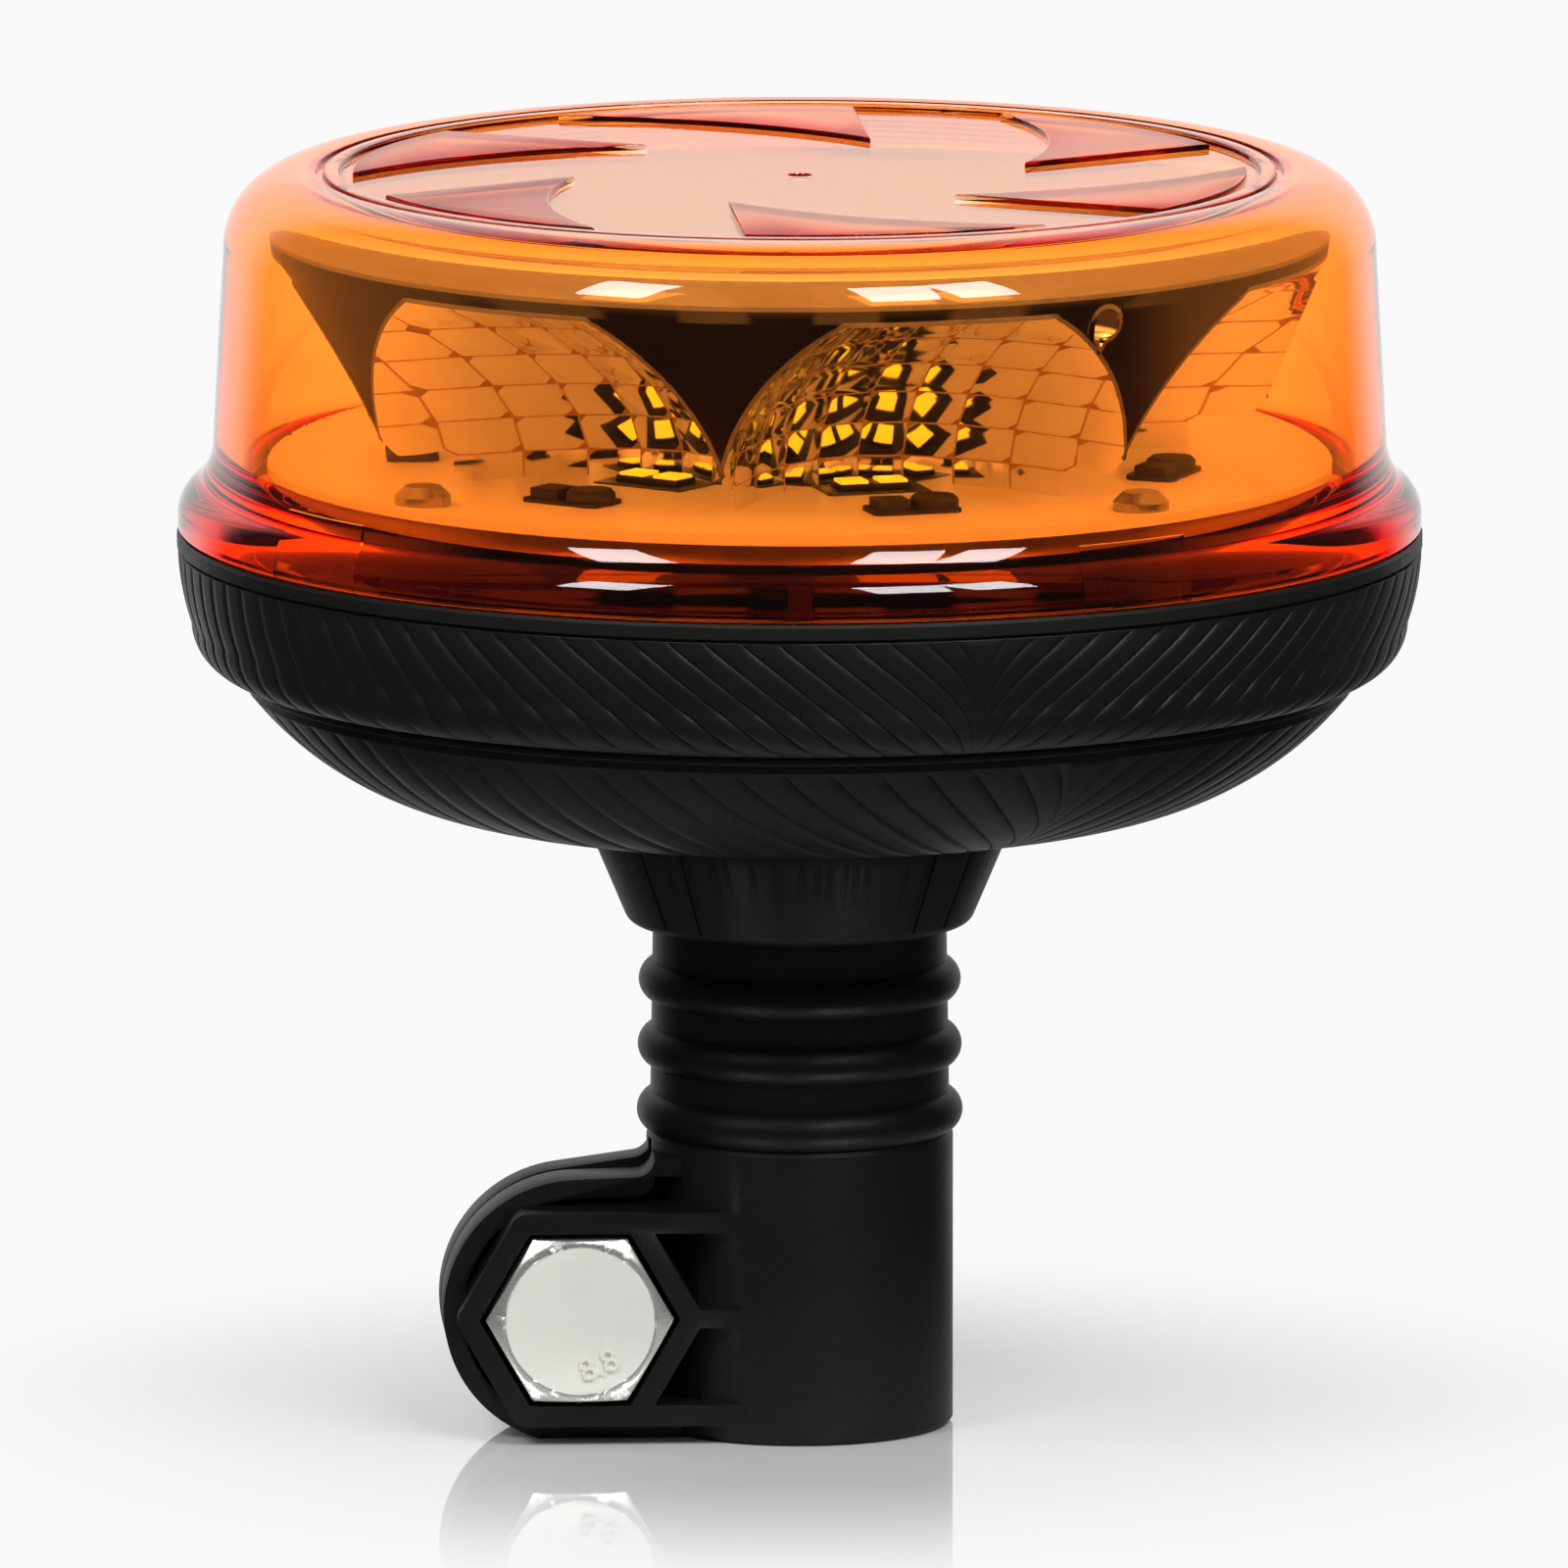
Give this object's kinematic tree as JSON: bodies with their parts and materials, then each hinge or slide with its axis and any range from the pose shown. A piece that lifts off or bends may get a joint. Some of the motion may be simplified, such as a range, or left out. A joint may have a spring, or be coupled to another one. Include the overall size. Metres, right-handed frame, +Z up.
{
  "type": "led warning beacon",
  "caption": "Round amber LED warning beacon with faceted reflector cups, on a ribbed flexible neck with a split pole clamp.",
  "frame": {"origin": "middle of the pole socket's mouth, on the bottom plane of the clamp", "axes": "+Z up along the pole, -Y the side with the clamp bolt's head, -X the side with the clamp lug"},
  "size_m": [0.13, 0.13, 0.1324],
  "materials": {
    "socket_black": "fine-grained black glass-filled nylon",
    "bolt_zinc": "zinc-plated steel",
    "carrier_grey": "moulded insulator",
    "contact_brass": "bright brass",
    "spring_steel": "spring steel",
    "neck_black": "fine-grained thermoplastic elastomer",
    "grommet_black": "soft rubber",
    "lead_red": "insulated stranded wire",
    "lead_black": "insulated stranded wire",
    "base_black": "fine-grained black plastic",
    "retainer_black": "plain moulded plastic",
    "seal_black": "soft rubber ring",
    "lens_amber": "clear amber polycarbonate",
    "plate_aluminium": "mill finish",
    "board_white": "white solder resist",
    "led_yellow": "yellow phosphor under clear silicone",
    "choke_black": "ferrite",
    "reflector_metal": "vacuum-metallised plastic",
    "screw_steel": "plated steel"
  },
  "bodies": {
    "clamp": {"clamp_socket": "socket_black", "clamp_bolt": "bolt_zinc", "contact_carrier": "carrier_grey", "earth_ring": "contact_brass", "contact_cap": "contact_brass", "contact_spring": "spring_steel"},
    "clamp_washer": {"clamp_washer": "bolt_zinc"},
    "clamp_nut": {"clamp_nut": "bolt_zinc"},
    "contact_pin": {"contact_pin": "contact_brass"},
    "neck": {"flex_neck": "neck_black", "neck_lead_1": "lead_red", "neck_lead_2": "lead_black"},
    "head": {"neck_collar": "base_black", "base_bowl": "base_black", "neck_retainer": "retainer_black", "bowl_seal": "seal_black", "base_rim": "base_black", "lens_seal": "seal_black", "lens_dome": "lens_amber", "heat_plate": "plate_aluminium", "led_board": "board_white", "reflector_ring": "reflector_metal", "lead_grommet": "grommet_black", "head_lead_1": "lead_red", "head_lead_2": "lead_black", "led_module_1": "led_yellow", "led_module_2": "led_yellow", "led_module_3": "led_yellow", "led_module_4": "led_yellow", "led_module_5": "led_yellow", "led_module_6": "led_yellow", "led_module_7": "led_yellow", "choke_1": "choke_black", "choke_2": "choke_black", "choke_3": "choke_black", "choke_4": "choke_black", "choke_5": "choke_black", "choke_6": "choke_black", "choke_7": "choke_black", "retainer_screw_1": "screw_steel", "retainer_screw_2": "screw_steel", "retainer_screw_3": "screw_steel", "retainer_screw_4": "screw_steel", "rim_screw_1": "screw_steel", "rim_screw_2": "screw_steel", "rim_screw_3": "screw_steel", "rim_screw_4": "screw_steel", "plate_screw_1": "screw_steel", "plate_screw_2": "screw_steel", "plate_screw_3": "screw_steel", "plate_screw_4": "screw_steel", "reflector_screw_1": "screw_steel", "reflector_screw_2": "screw_steel", "reflector_screw_3": "screw_steel", "reflector_screw_4": "screw_steel"}
  },
  "joints": [
    {"name": "neck_bend_fore_aft", "type": "hinge", "parent": "clamp", "child": "neck", "pos_m": [0, 0, 0.0365], "axis": [1, 0, 0], "range_deg": [-25, 25], "stiffness_Nm_per_rad": 6, "deforming": ["flex_neck", "neck_lead_1", "neck_lead_2"]},
    {"name": "neck_bend_sideways", "type": "hinge", "parent": "neck", "child": "head", "pos_m": [0, 0, 0.0485], "axis": [0, 1, 0], "range_deg": [-25, 25], "stiffness_Nm_per_rad": 6, "deforming": ["flex_neck", "neck_lead_1", "neck_lead_2"]},
    {"name": "washer_slide", "type": "slide", "parent": "clamp", "child": "clamp_washer", "axis": [0, 1, 0], "range_m": [0, 0.003]},
    {"name": "nut_turn", "type": "hinge", "parent": "clamp_washer", "child": "clamp_nut", "pos_m": [-0.0237, 0.0115, 0.0134], "axis": [0, 1, 0], "range_deg": [0, 720]},
    {"name": "contact_press", "type": "slide", "parent": "clamp", "child": "contact_pin", "axis": [0, 0, 1], "range_m": [0, 0.0016], "stiffness_N_per_m": 500, "springref_m": -0.002, "deforming": ["contact_spring"]}
  ],
  "couplings": [
    {"joint": "washer_slide", "follows": "nut_turn", "m_per_rad": 0.00023873}
  ]
}
